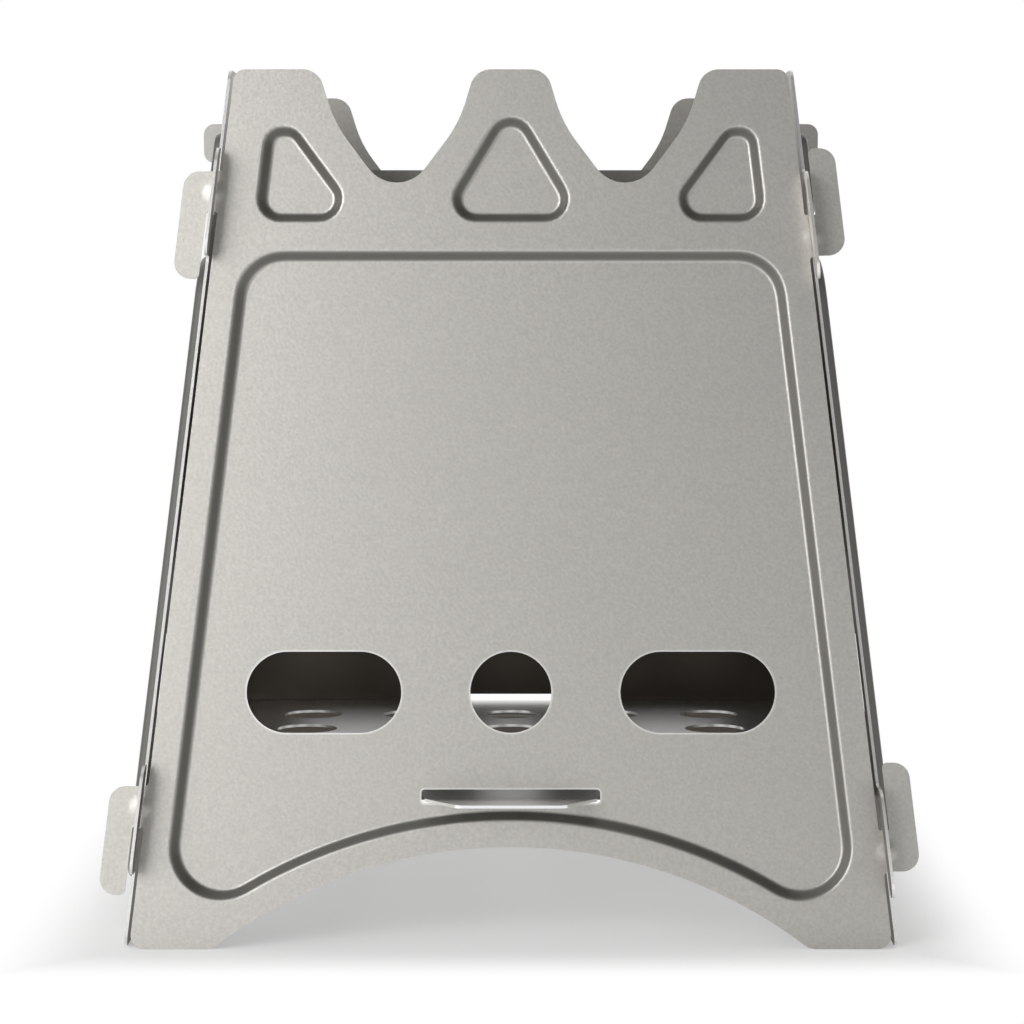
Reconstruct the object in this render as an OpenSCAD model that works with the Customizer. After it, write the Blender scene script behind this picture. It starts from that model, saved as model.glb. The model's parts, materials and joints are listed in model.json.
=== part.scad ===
// Folding camping stove: four stamped sheet panels that hook together at the
// corners, a perforated floor plate that lies in their slots and two bars
// that lie across the top. X is to the right, Y to the back, Z up.

/* [Panels] */
// Width of a panel's body at the feet
base_w = 130; // [110:1:150]
// Width of a panel's body at the top
top_w = 95; // [88:1:105]
// Height of a panel along its slope
slant_h = 150.7; // [145:0.1:170]
// Thickness of the sheet
sheet = 0.5; // [0.3:0.1:0.7]
// Gap between a panel's edge and the sheet next to it
edge_gap = 0.6; // [0.5:0.1:1]
// Radius of a foot's outer corner
foot_r = 2.3; // [1:0.1:4]

/* [Arch] */
// Height of the arch between the feet
arch_h = 17.4; // [10:0.1:20]
// Width of the arch at the ground
arch_w = 102; // [80:1:108]

/* [Teeth] */
// Distance of a valley's middle from the panel's middle
valley_x = 20.2; // [19:0.1:22]
// Width of a valley at the top
valley_w = 27.8; // [24:0.1:30]
// Width of a valley where its flank bends
valley_bend_w = 22.4; // [18:0.1:24]
// Depth of the bend below the top
valley_bend_drop = 9.9; // [7:0.1:12]
// Depth of the point where the flanks would meet
valley_point_drop = 23.3; // [20:0.1:24]
// Radius of a valley's bottom
valley_r = 5; // [3:0.1:7]
// Radius of the flank's bend
bend_r = 8; // [4:0.5:10]
// Radius of a tooth's corners
tooth_r = 2; // [1:0.1:3]

/* [Corner hooks] */
// Height at which the upper pair of hooks meets
upper_meet = 125.8; // [118:0.1:128]
// Height at which the lower pair of hooks meets
lower_meet = 20.5; // [18:0.1:24]
// Height of a hook
hook_h = 18.5; // [15:0.1:20]
// Height of a hook's neck
neck_h = 7; // [5:0.1:8]
// Reach of a hook from the panel's edge
hook_reach = 7; // [5.5:0.1:9]
// Width of the slit that takes the next panel
slit_w = 1.9; // [1.7:0.1:2.4]
// Gap between two necks that meet
neck_gap = 0.5; // [0.3:0.1:1]
// Radius of a hook's outer corners
hook_r = 2.8; // [1.5:0.1:3.5]
// Radius of a hook's inner corners
hook_inner_r = 0.9; // [0.5:0.1:1.2]
// Diameter of the dimple pressed in each neck
dimple_d = 4.6; // [3:0.1:5]
// Depth of the dimple
dimple_depth = 0.2; // [0.1:0.05:0.25]

/* [Embossing] */
// Depth of the embossing
emboss = 1.8; // [1:0.1:2.5]
// Width of the sloping wall
wall_w = 1.6; // [1:0.1:2.2]
// Flat rim beside the field
field_rim = 4.7; // [3.5:0.1:7]
// Height of the field's top edge
field_top = 119.5; // [100:0.5:121]
// Flat rim between the arch and the field
arch_rim = 4.3; // [3:0.1:6]
// Radius of the field's upper corners
field_r = 8.5; // [5:0.5:12]
// Radius of the field's lower corners
field_toe_r = 8; // [6:0.5:9]
// Height of the triangles' lower edge
badge_bottom = 124.3; // [123:0.1:126]
// Height of the middle triangle
badge_h = 20.6; // [16:0.1:21]
// Width of the middle triangle at its lower edge
badge_w = 25; // [18:0.1:26]
// Radius of the triangles' corners
badge_r = 3.4; // [2.6:0.1:4]
// Height of the side triangles
side_badge_h = 17.6; // [14:0.1:19]
// Width of the side triangles at their lower edge
side_badge_w = 20.4; // [16:0.1:21]

/* [Vents] */
// Height of the vents' centres
vent_z = 43.7; // [36:0.1:60]
// Diameter of the round vent and of the long vents' ends
vent_d = 13.9; // [8:0.1:16]
// Length of the long vents
vent_l = 26.5; // [20:0.1:30]
// Distance of the long vents from the middle
vent_x = 32; // [28:0.1:34]

/* [Floor plate] */
// Height of the slots' lower edge along the panel
slot_bottom = 24.7; // [24.5:0.1:30]
// Height of the slots
slot_h = 2.4; // [2:0.1:3]
// Width of the slots
slot_w = 30.6; // [26:0.1:34]
// Play of the plate above the slots' lower edge
plate_play = 0.3; // [0.2:0.05:0.5]
// Clearance between the plate and the panels
plate_gap = 0.5; // [0.4:0.1:1]
// Diameter of the plate's holes
plate_hole_d = 11.7; // [8:0.1:13]
// Spacing of the plate's holes
plate_pitch = 20; // [16:0.5:22]
// Holes in a row of the plate
plate_holes = 5; // [3:1:5]
// Width of the front tongue in its slot
tongue_w = 29.4; // [24:0.1:30]
// Width of the front tongue's nose
nose_w = 18.3; // [12:0.1:20]
// Reach of the front tongue past the panel
tongue_reach = 8; // [5:0.1:8.5]
// Width of the side tongues
side_tongue_w = 16; // [10:0.5:20]
// Reach of the side tongues past the panel
side_tongue_reach = 1.4; // [1:0.1:3]
// Radius of the plate's corners
plate_r = 4; // [2:0.5:8]

/* [Cross bars] */
// Thickness of a bar
bar_t = 0.8; // [0.5:0.1:1.5]
// Height of a bar's strip
bar_h = 3.6; // [3:0.1:5]
// Play of a bar above the valley
bar_play = 0.3; // [0.2:0.05:0.5]
// Length of a bar outside the panel
bar_foot = 3.7; // [2:0.1:5]
// Step under the bar outside the panel
bar_step = 1; // [0.8:0.1:1.4]
// Height of a bar's horn above its underside
horn_h = 14.4; // [10:0.1:16]
// Width of a bar's horn
horn_w = 1.8; // [1.2:0.1:3]
// Reach of a bar's ear outside the panel
ear_reach = 7.3; // [5:0.1:9]
// Height of the ear's lower edge above the bar's underside
ear_bottom = 4.9; // [4:0.1:7]
// Height of the ear
ear_h = 7.1; // [5:0.1:9]
// Radius of the ear's corners
ear_r = 2.2; // [1:0.1:2.5]

/* [Hidden] */
$fn = 64;
arc_steps = 6;
wide_arc_steps = 24;
// Overrun of cuts through a face
over = 1;
// Extra length of the feet that the ground plane trims
foot_trim = 0.5;
slit_round_share = 0.45;
horn_round_share = 0.4;
// Lean of a panel from the vertical
lean = asin((base_w - top_w) / 2 / slant_h);
// Distance of a panel's outer face from the middle at the ground
panel_off = base_w / 2 + edge_gap + sheet;
// Radius of the arch, and the height of its centre along the panel
arch_r = (arch_w * arch_w / 4 + arch_h * arch_h) / (2 * arch_h);
arch_centre = arch_h - arch_r;
field_arch_r = arch_r + arch_rim;
dimple_ball_r = (dimple_d * dimple_d / 4 + dimple_depth * dimple_depth) / (2 * dimple_depth);
titanium = [0.69, 0.68, 0.65];
dark_titanium = [0.45, 0.44, 0.42];
bright_titanium = [0.82, 0.82, 0.8];

function unit(v) = v / norm(v);

// Half the body's width at a height along the panel
function edge_x(v) = base_w / 2 - (base_w - top_w) / 2 * v / slant_h;

// Distance of a panel's outer face from the middle at a height above the ground
function face_at(z) = panel_off - z * tan(lean);

// Points of a rounded corner, moved towards the inside of a shape that runs
// anticlockwise. A radius of zero keeps the corner sharp.
function corner_arc(before, at, after, r, shrink, steps) =
    let (a = unit(before - at), b = unit(after - at))
    let (half = acos(a * b) / 2, side = cross(b, a) > 0 ? 1 : -1)
    let (centre = at + unit(a + b) * r / sin(half))
    let (start = at + a * r / tan(half) - centre)
    let (from = atan2(start[1], start[0]), sweep = side * (180 - 2 * half))
    [for (i = [0 : steps]) centre + (r - side * shrink)
        * [cos(from + sweep * i / steps), sin(from + sweep * i / steps)]];

// Outline of a list of [x, y, radius] corners
function rounded(corners, shrink = 0) =
    let (n = len(corners))
    [for (i = [0 : n - 1])
        let (c = corners[i], p = corners[(i + n - 1) % n], q = corners[(i + 1) % n])
        each corner_arc([p[0], p[1]], [c[0], c[1]], [q[0], q[1]], c[2], shrink, arc_steps)];

// Corners of one hook. side is 1 at the right, where the tab rises from its
// neck, and -1 at the left, where the tab hangs down.
function hook(side, meet) =
    let (near = meet - side * neck_gap / 2, far = near - side * neck_h, tip = far + side * hook_h)
    [[side * edge_x(far), far, hook_inner_r],
     [side * (edge_x(far) + hook_reach), far, hook_r],
     [side * (edge_x(tip) + hook_reach), tip, hook_r],
     [side * (edge_x(tip) + slit_w), tip, hook_inner_r],
     [side * (edge_x(near) + slit_w), near, slit_w * slit_round_share],
     [side * edge_x(near), near, slit_w * slit_round_share]];

// Corners of the valley on one side of the middle tooth, from right to left
function valley(x) =
    [[x + valley_w / 2, slant_h, tooth_r],
     [x + valley_bend_w / 2, slant_h - valley_bend_drop, bend_r],
     [x, slant_h - valley_point_drop, valley_r],
     [x - valley_bend_w / 2, slant_h - valley_bend_drop, bend_r],
     [x - valley_w / 2, slant_h, tooth_r]];

// Corners of the whole panel, anticlockwise from the left foot
function panel_corners(left_hooks) = concat(
    [[-edge_x(-foot_trim), -foot_trim, foot_r], [edge_x(-foot_trim), -foot_trim, foot_r]],
    hook(1, lower_meet), hook(1, upper_meet),
    [[top_w / 2, slant_h, tooth_r]],
    valley(valley_x), valley(-valley_x),
    [[-top_w / 2, slant_h, tooth_r]],
    left_hooks ? concat(hook(-1, upper_meet), hook(-1, lower_meet)) : []);

// Height at which the field's side line crosses the arch's rim
function field_toe() =
    let (k = (base_w - top_w) / 2 / slant_h, x0 = base_w / 2 - field_rim)
    let (a = 1 + k * k, b = -2 * (x0 * k + arch_centre))
    let (c = x0 * x0 + arch_centre * arch_centre - field_arch_r * field_arch_r)
    (-b + sqrt(b * b - 4 * a * c)) / (2 * a);

// Outline of the field: straight sides and top, and an edge that follows the arch
function field_outline(shrink) =
    let (toe = field_toe(), tx = edge_x(toe) - field_rim, hx = edge_x(field_top) - field_rim)
    let (rim = atan2(toe - arch_centre, tx), tangent = [-sin(rim), cos(rim)])
    let (opening = acos(unit([hx - tx, field_top - toe]) * tangent) / 2)
    let (first = rim + field_toe_r / tan(opening) / field_arch_r * 180 / PI)
    let (lt = [-tx, toe], rt = [tx, toe], lh = [-hx, field_top], rh = [hx, field_top])
    concat(
        corner_arc(rt + tangent, rt, rh, field_toe_r, shrink, arc_steps),
        corner_arc(rt, rh, lh, field_r, shrink, arc_steps),
        corner_arc(rh, lh, lt, field_r, shrink, arc_steps),
        corner_arc(lh, lt, lt + [-tangent[0], tangent[1]], field_toe_r, shrink, arc_steps),
        [for (i = [1 : wide_arc_steps - 1])
            let (at = 180 - first + (2 * first - 180) * i / wide_arc_steps)
            [0, arch_centre] + (field_arch_r + shrink) * [cos(at), sin(at)]]);

// Outline of the middle triangle
function badge(shrink) = rounded(
    [[-badge_w / 2, badge_bottom, badge_r], [badge_w / 2, badge_bottom, badge_r],
     [0, badge_bottom + badge_h, badge_r]], shrink);

// Outline of a side triangle, with one edge along the panel's edge
function side_badge(side, shrink) =
    let (low = edge_x(badge_bottom) - field_rim, top = badge_bottom + side_badge_h)
    let (high = edge_x(top) - field_rim, inner = low - side_badge_w)
    let (right = [[inner, badge_bottom, badge_r], [low, badge_bottom, badge_r],
        [high, top, badge_r]])
    side > 0 ? rounded(right, shrink)
        : rounded([for (i = [2 : -1 : 0]) [-right[i][0], right[i][1], right[i][2]]], shrink);

// Sloping wall of an embossed shape, from its outer to its inner outline
module emboss_wall(outer, inner, height) {
    n = len(outer);
    levels = [[outer, 0], [inner, height], [inner, height - sheet], [outer, -sheet]];
    points = [for (level = levels) for (p = level[0]) [p[0], p[1], level[1]]];
    faces = [for (k = [0 : 3]) for (i = [0 : n - 1])
        let (j = (i + 1) % n, m = (k + 1) % 4)
        [k * n + i, m * n + i, m * n + j, k * n + j]];
    polyhedron(points, faces, convexity = 8);
}

// Flat floor and sloping wall of one embossed shape
module embossed(outer, inner, height) {
    emboss_wall(outer, inner, height);
    translate([0, 0, height - sheet]) linear_extrude(sheet) polygon(inner);
}

// Round cut through the sheet, long where length is over the diameter
module vent_cut(x, length) {
    depth = emboss + sheet + over;
    for (side = [-1, 1]) translate([x + side * (length - vent_d) / 2, vent_z, -depth])
        cylinder(d = vent_d, h = 2 * depth);
    translate([x - (length - vent_d) / 2, vent_z - vent_d / 2, -depth])
        cube([length - vent_d, vent_d, 2 * depth]);
}

// One panel lying flat, its outer face up. height is the embossing's height,
// negative where it is pressed inwards.
module panel(height, left_hooks = true) {
    depth = emboss + sheet + over;
    difference() {
        union() {
            translate([0, 0, -sheet]) linear_extrude(sheet) difference() {
                polygon(rounded(panel_corners(left_hooks)));
                polygon(field_outline(0));
                polygon(badge(0));
                for (side = [-1, 1]) polygon(side_badge(side, 0));
            }
            embossed(field_outline(0), field_outline(wall_w), height);
            embossed(badge(0), badge(wall_w), height);
            for (side = [-1, 1])
                embossed(side_badge(side, 0), side_badge(side, wall_w), height);
        }
        for (side = [-1, 1]) vent_cut(side * vent_x, vent_l);
        translate([0, vent_z, -depth]) cylinder(d = vent_d, h = 2 * depth);
        translate([0, arch_centre, -depth]) cylinder(r = arch_r, h = 2 * depth, $fn = 256);
        translate([-slot_w / 2, slot_bottom, -depth]) cube([slot_w, slot_h, 2 * depth]);
        for (meet = [lower_meet, upper_meet]) for (side = left_hooks ? [-1, 1] : [1]) {
            at = meet - side * (neck_gap + neck_h) / 2;
            translate([side * (edge_x(at) + slit_w / 2), at, dimple_ball_r - dimple_depth])
                sphere(dimple_ball_r);
        }
    }
}

// A panel stood up on its side of the stove and cut flat at the ground
module standing(turn, height, left_hooks = true) {
    difference() {
        rotate([0, 0, turn]) translate([0, -panel_off, 0]) rotate([90 - lean, 0, 0])
            panel(height, left_hooks);
        translate([-base_w, -base_w, -foot_trim - 2 * over])
            cube([2 * base_w, 2 * base_w, foot_trim + 2 * over]);
    }
}

module front_panel() {
    color(titanium) standing(0, -emboss);
}

module right_panel() {
    color(titanium) standing(90, emboss);
}

module back_panel() {
    color(titanium) standing(180, -emboss, false);
}

module left_panel() {
    color(titanium) standing(-90, emboss);
}

// Perforated plate between the panels, with a tongue in three of the slots
module floor_plate() {
    z = slot_bottom * cos(lean) + plate_play;
    // The front and back fields are pressed inwards, the side ones outwards
    half_y = face_at(z + sheet) - sheet - emboss / cos(lean) - plate_gap;
    half_x = face_at(z + sheet) - sheet - plate_gap;
    front_y = face_at(z) - emboss;
    side_x = face_at(z) + emboss;
    color(bright_titanium) translate([0, 0, z]) difference() {
        linear_extrude(sheet) polygon(rounded([
            [-half_x, -half_y, plate_r], [-tongue_w / 2, -half_y, tooth_r / 2],
            [-tongue_w / 2, -front_y - over, tooth_r / 2],
            [-nose_w / 2, -front_y - tongue_reach, tooth_r],
            [nose_w / 2, -front_y - tongue_reach, tooth_r],
            [tongue_w / 2, -front_y - over, tooth_r / 2],
            [tongue_w / 2, -half_y, tooth_r / 2], [half_x, -half_y, plate_r],
            [half_x, -side_tongue_w / 2, tooth_r / 2],
            [side_x + side_tongue_reach, -side_tongue_w / 2, tooth_r / 2],
            [side_x + side_tongue_reach, side_tongue_w / 2, tooth_r / 2],
            [half_x, side_tongue_w / 2, tooth_r / 2],
            [half_x, half_y, plate_r], [-half_x, half_y, plate_r],
            [-half_x, side_tongue_w / 2, tooth_r / 2],
            [-side_x - side_tongue_reach, side_tongue_w / 2, tooth_r / 2],
            [-side_x - side_tongue_reach, -side_tongue_w / 2, tooth_r / 2],
            [-half_x, -side_tongue_w / 2, tooth_r / 2]]));
        for (i = [0 : plate_holes - 1]) for (j = [0 : plate_holes - 1])
            translate([(i - (plate_holes - 1) / 2) * plate_pitch,
                (j - (plate_holes - 1) / 2) * plate_pitch, -over])
                cylinder(d = plate_hole_d, h = sheet + 2 * over);
    }
}

// Height of a valley's bottom above the ground
function valley_z() =
    let (flank = atan2(valley_point_drop - valley_bend_drop, valley_bend_w / 2))
    (slant_h - valley_point_drop + valley_r * (1 / cos(flank) - 1)) * cos(lean);

// Bar that stands on edge in the valleys of the side panels, with a horn and
// an ear at each end
module cross_bar(side) {
    base = valley_z() + bar_play;
    outer = face_at(base);
    inner = outer - sheet - plate_gap;
    ear_top = ear_bottom + ear_h;
    right = [[inner, 0, 0], [outer + plate_gap / 2, 0, 0],
        [outer + plate_gap / 2 + bar_step / 2, bar_step, 0], [outer + bar_foot, bar_step, 0],
        [outer + bar_foot, ear_bottom, 0]];
    color(dark_titanium) translate([0, side * valley_x + bar_t / 2, base]) rotate([90, 0, 0])
    linear_extrude(bar_t) {
        polygon(concat([for (p = right) [p[0], p[1]]],
            [[outer, ear_bottom], [outer, bar_h], [-outer, bar_h], [-outer, ear_bottom]],
            [for (i = [len(right) - 1 : -1 : 0]) [-right[i][0], right[i][1]]]));
        for (end = [0, 1]) mirror([end, 0]) {
            polygon(rounded([[inner, bar_h / 2, horn_w * horn_round_share / 2],
                [outer + bar_foot - over, bar_h / 2, horn_w * horn_round_share / 2],
                [outer + bar_foot - over, ear_bottom + over, horn_w * horn_round_share / 2],
                [inner + horn_w, ear_bottom + over, horn_w * horn_round_share / 2],
                [inner + horn_w, horn_h, horn_w * horn_round_share],
                [inner, horn_h, horn_w * horn_round_share]]));
            polygon(rounded([[inner + horn_w / 2, ear_bottom, horn_w * horn_round_share / 2],
                [outer + ear_reach, ear_bottom, ear_r],
                [outer + ear_reach, ear_top, ear_r],
                [inner + horn_w / 2, ear_top, horn_w * horn_round_share / 2]]));
        }
    }
}

module near_cross_bar() {
    cross_bar(-1);
}

module far_cross_bar() {
    cross_bar(1);
}

front_panel();
left_panel();
right_panel();
back_panel();
floor_plate();
near_cross_bar();
far_cross_bar();
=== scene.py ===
"""Looks of a folding camping stove made of stamped titanium sheet."""

import json
import logging
import math
from dataclasses import dataclass
from enum import Enum

import bpy
import numpy as np
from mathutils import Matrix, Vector, geometry

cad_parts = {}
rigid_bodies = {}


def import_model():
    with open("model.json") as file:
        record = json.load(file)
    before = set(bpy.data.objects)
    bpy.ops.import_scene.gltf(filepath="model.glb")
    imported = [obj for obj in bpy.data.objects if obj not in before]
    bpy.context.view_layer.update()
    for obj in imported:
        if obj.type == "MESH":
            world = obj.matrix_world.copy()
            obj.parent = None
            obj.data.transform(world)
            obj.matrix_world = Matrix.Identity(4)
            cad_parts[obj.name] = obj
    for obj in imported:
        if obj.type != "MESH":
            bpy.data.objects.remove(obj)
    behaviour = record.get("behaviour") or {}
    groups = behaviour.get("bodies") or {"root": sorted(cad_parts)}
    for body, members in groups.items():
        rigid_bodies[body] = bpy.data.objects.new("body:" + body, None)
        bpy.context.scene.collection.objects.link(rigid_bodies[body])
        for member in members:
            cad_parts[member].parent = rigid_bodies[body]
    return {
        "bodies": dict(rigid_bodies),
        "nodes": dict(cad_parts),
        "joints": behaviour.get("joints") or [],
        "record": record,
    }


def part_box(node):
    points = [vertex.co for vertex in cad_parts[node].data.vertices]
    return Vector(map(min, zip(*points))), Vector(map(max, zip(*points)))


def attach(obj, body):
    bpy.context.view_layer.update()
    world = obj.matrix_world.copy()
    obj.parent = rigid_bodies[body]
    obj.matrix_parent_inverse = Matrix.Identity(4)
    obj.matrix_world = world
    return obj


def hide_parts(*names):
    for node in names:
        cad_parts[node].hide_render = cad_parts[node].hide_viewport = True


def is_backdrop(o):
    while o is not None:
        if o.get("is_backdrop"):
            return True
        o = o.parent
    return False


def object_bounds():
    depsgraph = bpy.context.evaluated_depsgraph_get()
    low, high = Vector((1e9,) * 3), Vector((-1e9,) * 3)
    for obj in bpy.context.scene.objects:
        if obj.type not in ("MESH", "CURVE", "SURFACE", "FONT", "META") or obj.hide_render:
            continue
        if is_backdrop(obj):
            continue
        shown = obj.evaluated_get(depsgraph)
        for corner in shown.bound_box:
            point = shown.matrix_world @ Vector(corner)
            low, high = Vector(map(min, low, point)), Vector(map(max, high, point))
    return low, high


LOG = logging.getLogger("stove")
MM = 0.001

Colour = tuple[float, float, float]
Vector3 = tuple[float, float, float]
Corner = tuple[float, float, float]

# Sides of each rounded corner, arch, hole and dimple
CORNER_STEPS = 8
ARCH_STEPS = 60
HOLE_STEPS = 48
DIMPLE_STEPS = 24

# Length of a side of a pressed ring in millimetres, and the fewest sides that a ring has
RING_SPACING = 1.2
LEAST_RING_STEPS = 24

# Shares of a wall's width and of a dimple's radius at which the rings lie, with guard rings outside
WALL_SHARES = (-0.12, 0.0, 0.1, 0.2, 0.3, 0.4, 0.5, 0.6, 0.7, 0.8, 0.9, 1.0, 1.12)
DIMPLE_SHARES = (1.1, 1.0, 0.85, 0.7, 0.55, 0.4, 0.25, 0.1)

# Shares of the slit's width and of the badge's corner radius
SLIT_ROUND_SHARE = 0.15
BADGE_HEAD_SHARE = 0.8

# Distance in millimetres at which points of the triangulation are one
SAME_POINT = 1e-5

# Angle between two faces past which the edge between them is sharp
SHARP_DEGREES = 40.0

# Columns of a point's values, and the mesh attributes that two of them become: the painted shade on steep
# walls and the painted highlight round the holes
HEIGHT, STEEPNESS, HIGHLIGHT = 0, 1, 2
WALL_SHADE = "pressed"
RIM_HIGHLIGHT = "rim_highlight"

# Gain that brings a pressed wall's steepness, and so its painted shade, to one soon after its rims
STEEP_GAIN = 6.0

# Range of the face's share along the sheet's normal over which a sheared edge begins
EDGE_FROM = 0.3
EDGE_TO = 0.15

# Heights in metres between which the inside passes from painted shade, darker towards the bottom, to its
# own colour
SHADE_FULL_BELOW = 0.085
SHADE_GONE_ABOVE = 0.13

# Half the change of roughness from no clouding to full, and the depth of the grain's bump in metres
ROUGHNESS_SPREAD = 0.015
BUMP_DISTANCE = 0.1 * MM

# Bare metal of the sheared edges, painted brighter as their highlight, and the colour of the painted
# highlight round the holes
EDGE_AND_RIM_HIGHLIGHT: Colour = (0.92, 0.91, 0.90)


class Side(Enum):
    """The four walls, with the turn in degrees that brings the front wall there."""

    FRONT = 0
    RIGHT = 90
    BACK = 180
    LEFT = -90


@dataclass(frozen=True)
class Finish:
    """Finish of one kind of sheet.

    Attributes:
        colour: base colour of the flat faces.
        shade: darker colour in the grain's hollows.
        roughness: roughness of the flat faces.
        grain: grains per metre of the blasted texture.
        depth: strength of the grain's bump.
        edge: colour of the sheared edges, bare metal painted brighter as a highlight, and of the painted
            highlight round the holes.
        pressed: share of the colour that stays on the steep walls of the pressing, as painted shade there.
        low_shade: painted shade on the inside, darker towards the bottom, or None.
        rim_highlight: whether the rims of the holes get a painted highlight.
    """

    colour: Colour
    shade: Colour
    roughness: float
    grain: float
    depth: float
    edge: Colour = EDGE_AND_RIM_HIGHLIGHT
    pressed: float = 1.0
    low_shade: Colour | None = None
    rim_highlight: bool = False


# Outer face of the panels, with painted shade on the steep walls and a painted highlight round the holes
PANEL_FINISH = Finish(
    colour=(0.635, 0.615, 0.58),
    shade=(0.54, 0.523, 0.492),
    roughness=0.44,
    grain=1700.0,
    depth=0.2,
    pressed=0.35,
    rim_highlight=True,
)
# Sheared edges of the panels and bars: bare metal, painted brighter to stand for their highlight
EDGE_FINISH = Finish(
    colour=(0.90, 0.89, 0.875),
    shade=(0.80, 0.79, 0.77),
    roughness=0.34,
    grain=2500.0,
    depth=0.1,
)
# Inner face of the panels, with painted shade low down and on the steep walls
INNER_FINISH = Finish(
    colour=(0.64, 0.62, 0.585),
    shade=(0.54, 0.52, 0.49),
    roughness=0.46,
    grain=1500.0,
    depth=0.14,
    pressed=0.5,
    low_shade=(0.15, 0.132, 0.113),
)
PLATE_FINISH = Finish(
    colour=(0.80, 0.79, 0.775),
    shade=(0.70, 0.69, 0.67),
    roughness=0.3,
    grain=1800.0,
    depth=0.08,
    # Sheared edges and holes of the plate: bare metal, painted near white as their highlight
    edge=(0.93, 0.93, 0.92),
)
BAR_FINISH = Finish(
    colour=(0.50, 0.485, 0.46),
    shade=(0.42, 0.41, 0.39),
    roughness=0.42,
    grain=1600.0,
    depth=0.12,
)


@dataclass(frozen=True)
class GrainNoise:
    """Noise that makes the grain and the slow clouding over it.

    Attributes:
        fine_detail: detail of the grain's noise.
        fine_roughness: roughness of the grain's noise.
        fine_range: values of the noise that the speckle spreads from zero to one.
        cloud_scale: clouds per metre.
        cloud_detail: detail of the clouding's noise.
        cloud_range: values of the noise that the clouding spreads from zero.
        cloud_most: the clouding's greatest value.
    """

    fine_detail: float = 3.0
    fine_roughness: float = 0.6
    fine_range: tuple[float, float] = (0.34, 0.66)
    cloud_scale: float = 22.0
    cloud_detail: float = 4.0
    cloud_range: tuple[float, float] = (0.3, 0.7)
    cloud_most: float = 0.3


@dataclass(frozen=True)
class GroupSocket:
    """One socket of a shader node group."""

    name: str
    kind: str
    is_input: bool
    value: float | tuple[float, ...] | None = None


def new_group(name: str, sockets: list[GroupSocket]) -> bpy.types.ShaderNodeTree:
    """Make an empty shader node group with its sockets.

    Args:
        name: the group's name.
        sockets: its inputs and outputs, in order.

    Returns:
        The new group, with its input and output nodes in place.
    """
    tree = bpy.data.node_groups.new(name, "ShaderNodeTree")
    for socket in sockets:
        made = tree.interface.new_socket(
            name=socket.name,
            in_out="INPUT" if socket.is_input else "OUTPUT",
            socket_type=socket.kind,
        )
        if socket.value is not None:
            made.default_value = socket.value
    tree.nodes.new("NodeGroupInput").name = "In"
    tree.nodes.new("NodeGroupOutput").name = "Out"
    return tree


def blasted_grain_group(noise: GrainNoise) -> bpy.types.ShaderNodeTree:
    """Build the group for bead-blasted sheet.

    Fine noise gives the speckle and the height of its grains, and wide noise
    gives the slow clouding that handling leaves on the sheet.

    Args:
        noise: settings of both noises.

    Returns:
        The node group, with outputs Speckle, Cloud and Height.
    """
    tree = new_group(
        "Blasted grain",
        [
            GroupSocket("Position", "NodeSocketVector", True),
            GroupSocket("Grain", "NodeSocketFloat", True),
            GroupSocket("Clouding", "NodeSocketFloat", True, noise.cloud_scale),
            GroupSocket("Speckle", "NodeSocketFloat", False),
            GroupSocket("Cloud", "NodeSocketFloat", False),
            GroupSocket("Height", "NodeSocketFloat", False),
        ],
    )
    nodes, links = tree.nodes, tree.links
    source, sink = nodes["In"], nodes["Out"]
    fine = nodes.new("ShaderNodeTexNoise")
    fine.inputs["Detail"].default_value = noise.fine_detail
    fine.inputs["Roughness"].default_value = noise.fine_roughness
    coarse = nodes.new("ShaderNodeTexNoise")
    coarse.inputs["Detail"].default_value = noise.cloud_detail
    spread = nodes.new("ShaderNodeMapRange")
    spread.inputs["From Min"].default_value, spread.inputs["From Max"].default_value = noise.fine_range
    soften = nodes.new("ShaderNodeMapRange")
    soften.inputs["From Min"].default_value, soften.inputs["From Max"].default_value = noise.cloud_range
    soften.inputs["To Max"].default_value = noise.cloud_most
    links.new(source.outputs["Position"], fine.inputs["Vector"])
    links.new(source.outputs["Position"], coarse.inputs["Vector"])
    links.new(source.outputs["Grain"], fine.inputs["Scale"])
    links.new(source.outputs["Clouding"], coarse.inputs["Scale"])
    links.new(fine.outputs["Fac"], spread.inputs["Value"])
    links.new(coarse.outputs["Fac"], soften.inputs["Value"])
    links.new(spread.outputs["Result"], sink.inputs["Speckle"])
    links.new(soften.outputs["Result"], sink.inputs["Cloud"])
    links.new(fine.outputs["Fac"], sink.inputs["Height"])
    return tree


def sheared_edge_group() -> bpy.types.ShaderNodeTree:
    """Build the group that finds the sheared edges of a flat sheet.

    The mask is one where the face's own normal lies in the plane of the sheet,
    which is so on its sheared edges and in its holes, and nowhere else.

    Returns:
        The node group, with output Mask.
    """
    tree = new_group(
        "Sheared edge",
        [
            GroupSocket("Face normal", "NodeSocketVector", True),
            GroupSocket("Sheet normal", "NodeSocketVector", True, (0.0, -1.0, 0.0)),
            GroupSocket("Mask", "NodeSocketFloat", False),
        ],
    )
    nodes, links = tree.nodes, tree.links
    dot = nodes.new("ShaderNodeVectorMath")
    dot.operation = "DOT_PRODUCT"
    size = nodes.new("ShaderNodeMath")
    size.operation = "ABSOLUTE"
    step = nodes.new("ShaderNodeMapRange")
    step.inputs["From Min"].default_value = EDGE_FROM
    step.inputs["From Max"].default_value = EDGE_TO
    links.new(nodes["In"].outputs["Face normal"], dot.inputs[0])
    links.new(nodes["In"].outputs["Sheet normal"], dot.inputs[1])
    links.new(dot.outputs["Value"], size.inputs[0])
    links.new(size.outputs["Value"], step.inputs["Value"])
    links.new(step.outputs["Result"], nodes["Out"].inputs["Mask"])
    return tree


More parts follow.
